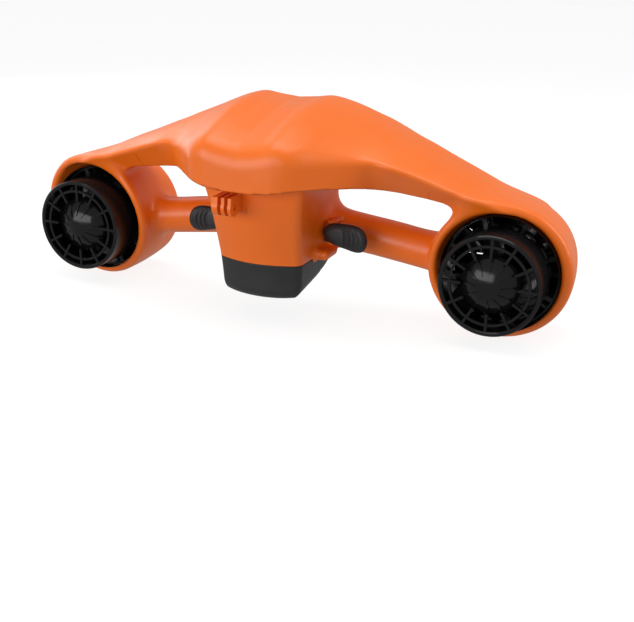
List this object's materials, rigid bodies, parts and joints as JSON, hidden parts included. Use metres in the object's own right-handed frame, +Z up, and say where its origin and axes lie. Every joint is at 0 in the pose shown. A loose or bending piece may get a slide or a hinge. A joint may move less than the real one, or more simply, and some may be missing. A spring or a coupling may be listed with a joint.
{
  "type": "underwater scooter",
  "caption": "Hand-held underwater scooter: a winged orange body over a battery pod, twin ducted propellers behind black grilles, hand bars with triggers and a camera mount.",
  "frame": {"origin": "centre of the bounding box at the floor, under the body, between the two thrusters", "axes": "+Z up; the front (the grilles and the camera mount) faces -Y; +X is the rider's left, and X = 0 is the plane of symmetry"},
  "size_m": [0.5212, 0.1554, 0.1903],
  "materials": {
    "orange_shell": "satin moulded ABS, orange",
    "black_gloss": "polished black nylon",
    "battery_case": "satin dark grey",
    "latch_black": "matt black",
    "trigger_grip": "matt dark grey soft-touch",
    "seal_rubber": "black silicone",
    "steel": "stainless",
    "motor_iron": "laminated steel and magnets",
    "copper": "enamelled copper winding",
    "contact_brass": "gold-plated contact",
    "cell_wrap": "shrink-wrapped steel can",
    "circuit_board": "green solder mask",
    "bay_grey": "moulded liner",
    "foam_white": "closed-cell buoyancy foam",
    "cable_black": "sheathed three-core lead",
    "window_clear": "clear acrylic"
  },
  "bodies": {
    "hull": {"shell_upper": "orange_shell", "shell_floor": "orange_shell", "pod_housing": "orange_shell", "hand_bar_left": "orange_shell", "hand_bar_right": "orange_shell", "shroud_left": "orange_shell", "shroud_right": "orange_shell", "guard_front_left": "black_gloss", "guard_front_right": "black_gloss", "guard_rear_left": "black_gloss", "guard_rear_right": "black_gloss", "motor_housing_left": "black_gloss", "motor_housing_right": "black_gloss", "motor_caps": "black_gloss", "shaft_seals": "seal_rubber", "motor_bearings": "steel", "motor_stators": "motor_iron", "motor_windings": "copper", "battery_bay": "bay_grey", "bay_contacts": "contact_brass", "trigger_pins": "steel", "trigger_springs": "steel", "camera_mount": "orange_shell", "mount_nut": "steel", "switch_body": "black_gloss", "button_spring": "steel", "status_window": "window_clear", "control_board": "circuit_board", "board_screws": "steel", "floor_screws": "steel", "foam": "foam_white", "motor_cable_left": "cable_black", "motor_cable_right": "cable_black"},
    "battery": {"battery_cap": "battery_case", "battery_sleeve": "battery_case", "battery_cells": "cell_wrap", "battery_board": "circuit_board", "battery_contacts": "contact_brass", "battery_seal": "seal_rubber", "latch_frame": "battery_case", "latch_springs": "steel"},
    "latch_left": {"latch_button_left": "latch_black"},
    "latch_right": {"latch_button_right": "latch_black"},
    "trigger_left": {"trigger_left": "trigger_grip", "trigger_magnet_left": "steel"},
    "trigger_right": {"trigger_right": "trigger_grip", "trigger_magnet_right": "steel"},
    "rotor_left": {"propeller_left": "black_gloss", "prop_nut_left": "black_gloss", "shaft_left": "steel", "motor_rotor_left": "motor_iron"},
    "rotor_right": {"propeller_right": "black_gloss", "prop_nut_right": "black_gloss", "shaft_right": "steel", "motor_rotor_right": "motor_iron"},
    "power_button": {"power_button": "trigger_grip"}
  },
  "joints": [
    {"name": "battery_slide", "type": "slide", "parent": "hull", "child": "battery", "axis": [0, 0, -1], "range_m": [0, 0.065]},
    {"name": "latch_left_press", "type": "slide", "parent": "battery", "child": "latch_left", "axis": [-1, 0, 0], "range_m": [0, 0.0022], "stiffness_N_per_m": 600, "springref_m": -0.001, "deforming": ["latch_springs"]},
    {"name": "latch_right_press", "type": "slide", "parent": "battery", "child": "latch_right", "axis": [1, 0, 0], "range_m": [0, 0.0022], "stiffness_N_per_m": 600, "springref_m": -0.001, "deforming": ["latch_springs"]},
    {"name": "trigger_left_pull", "type": "hinge", "parent": "hull", "child": "trigger_left", "pos_m": [0.0515, 0.00575, 0.07738], "axis": [0, 0, 1], "range_deg": [0, 12], "stiffness_Nm_per_rad": 0.3, "springref_deg": -8.59},
    {"name": "trigger_right_pull", "type": "hinge", "parent": "hull", "child": "trigger_right", "pos_m": [-0.0515, 0.00575, 0.07738], "axis": [0, 0, -1], "range_deg": [0, 12], "stiffness_Nm_per_rad": 0.3, "springref_deg": -8.59},
    {"name": "propeller_left_spin", "type": "hinge", "parent": "hull", "child": "rotor_left", "pos_m": [0.2, 0.00275, 0.05718], "axis": [0, 1, 0], "continuous": true},
    {"name": "propeller_right_spin", "type": "hinge", "parent": "hull", "child": "rotor_right", "pos_m": [-0.2, 0.00275, 0.05718], "axis": [0, -1, 0], "continuous": true},
    {"name": "power_button_press", "type": "slide", "parent": "hull", "child": "power_button", "axis": [0, -1, 0], "range_m": [0, 0.0012], "stiffness_N_per_m": 1500, "springref_m": -0.0008, "deforming": ["button_spring"]}
  ]
}
